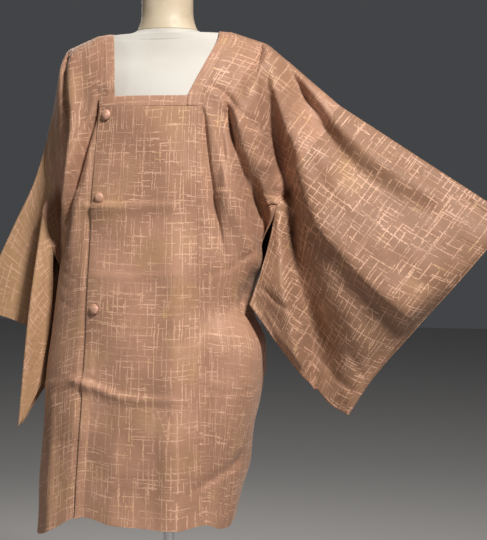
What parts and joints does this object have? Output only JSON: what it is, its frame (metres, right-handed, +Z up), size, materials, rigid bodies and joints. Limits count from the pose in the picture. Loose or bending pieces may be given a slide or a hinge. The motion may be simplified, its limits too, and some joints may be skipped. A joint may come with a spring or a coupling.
{
  "type": "michiyuki kimono coat on a dress form",
  "caption": "Hip-length kimono coat with a square framed neckline, lapped front, covered buttons and open wide sleeves, worn by a limbless dress form on a pole and round base.",
  "frame": {"origin": "centre of the base's underside, under the pole's axis", "axes": "+Z up the pole, -Y the coat's front, +X the wearer's left side with the raised sleeve"},
  "size_m": [0.983, 0.36, 1.4624],
  "materials": {
    "coat_silk": "soft satin jacquard crepe",
    "form_canvas": "matt plain weave over a hard shell",
    "form_cream": "matt",
    "chrome": "polished"
  },
  "bodies": {
    "root": {"body_left": "coat_silk", "body_right": "coat_silk", "front_overlap_left": "coat_silk", "front_overlap_right": "coat_silk", "neck_band_left": "coat_silk", "neck_band_right": "coat_silk", "neck_band_front": "coat_silk", "sleeve_left": "coat_silk", "sleeve_right": "coat_silk", "button_1": "coat_silk", "button_2": "coat_silk", "button_3": "coat_silk", "form_torso": "form_canvas", "form_neck": "form_cream", "form_cap": "form_cream", "stand_pole": "chrome", "stand_base": "chrome"}
  },
  "joints": []
}
